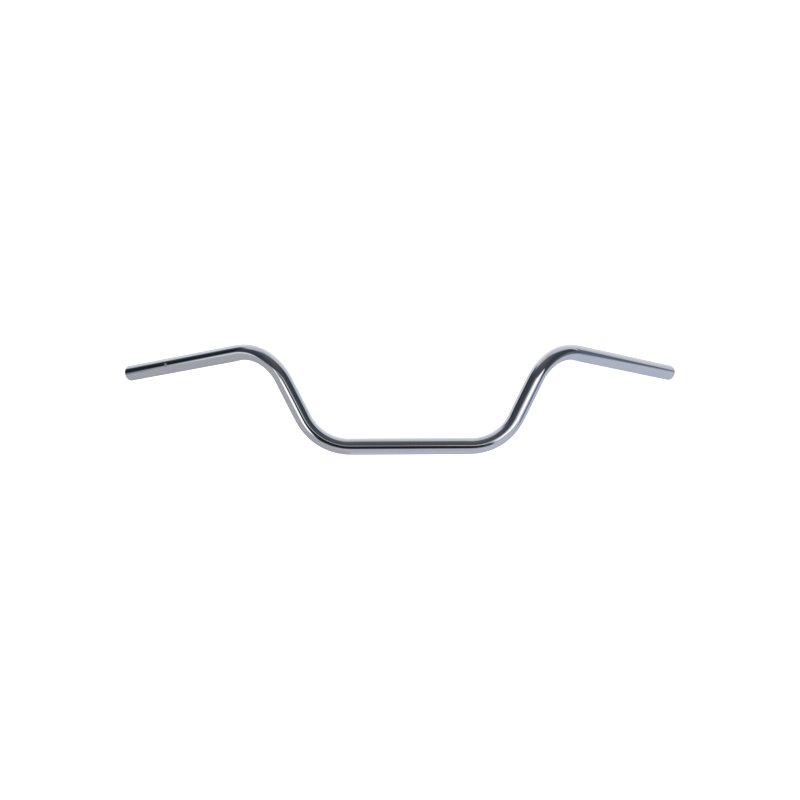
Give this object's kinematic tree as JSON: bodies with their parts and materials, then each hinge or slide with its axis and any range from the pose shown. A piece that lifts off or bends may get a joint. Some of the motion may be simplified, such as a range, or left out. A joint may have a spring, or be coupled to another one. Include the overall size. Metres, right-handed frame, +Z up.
{
  "type": "motorcycle handlebar",
  "caption": "Bare chrome-plated bent-tube motorcycle handlebar: straight clamp section, raised uprights, swept-back grip sections and damping weights held inside the tube ends.",
  "frame": {"origin": "middle of the straight centre section, on the tube's axis", "axes": "+X along the centre section to the rider's left, +Y back towards the rider, +Z up"},
  "size_m": [0.81, 0.1608, 0.1505],
  "materials": {
    "tube_chrome": "bright decorative chrome plating over polished steel tube",
    "weight_zinc": "turned steel, dull zinc plated",
    "cushion_rubber": "moulded black rubber, slightly dusty",
    "clip_steel": "bright formed spring steel sheet"
  },
  "bodies": {
    "root": {"handlebar_tube": "tube_chrome", "left_inner_weight": "weight_zinc", "left_outer_cushion": "cushion_rubber", "left_inner_cushion": "cushion_rubber", "left_spring_clip": "clip_steel", "right_inner_weight": "weight_zinc", "right_outer_cushion": "cushion_rubber", "right_inner_cushion": "cushion_rubber", "right_spring_clip": "clip_steel"}
  },
  "joints": []
}
